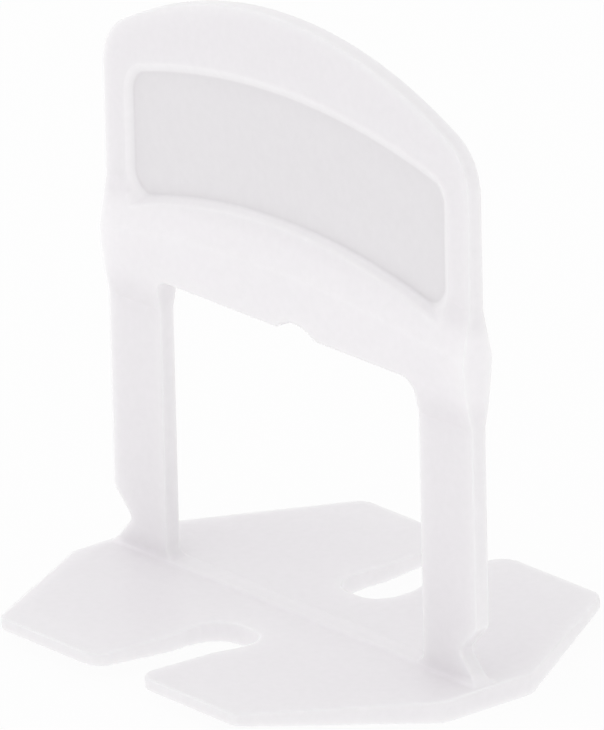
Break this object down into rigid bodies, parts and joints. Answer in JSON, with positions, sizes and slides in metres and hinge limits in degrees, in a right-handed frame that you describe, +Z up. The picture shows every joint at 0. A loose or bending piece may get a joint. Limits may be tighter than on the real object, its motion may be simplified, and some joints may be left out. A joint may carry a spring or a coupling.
{
  "type": "tile levelling clip",
  "caption": "Moulded tile levelling clip with a slotted base, thin break-off legs that space the tiles, and an arched head whose thick crossbar bears on a wedge in the window.",
  "frame": {"origin": "middle of the underside of the base, on the surface that it stands on", "axes": "+X along the upright from leg to leg, +Y from the front wing to the rear wing, +Z up from the base to the arched head"},
  "size_m": [0.048, 0.04, 0.0544],
  "materials": {
    "natural_plastic": "natural uncoloured polypropylene, milky and slightly see-through, with a satin moulded surface"
  },
  "bodies": {
    "root": {"clip": "natural_plastic"}
  },
  "joints": []
}
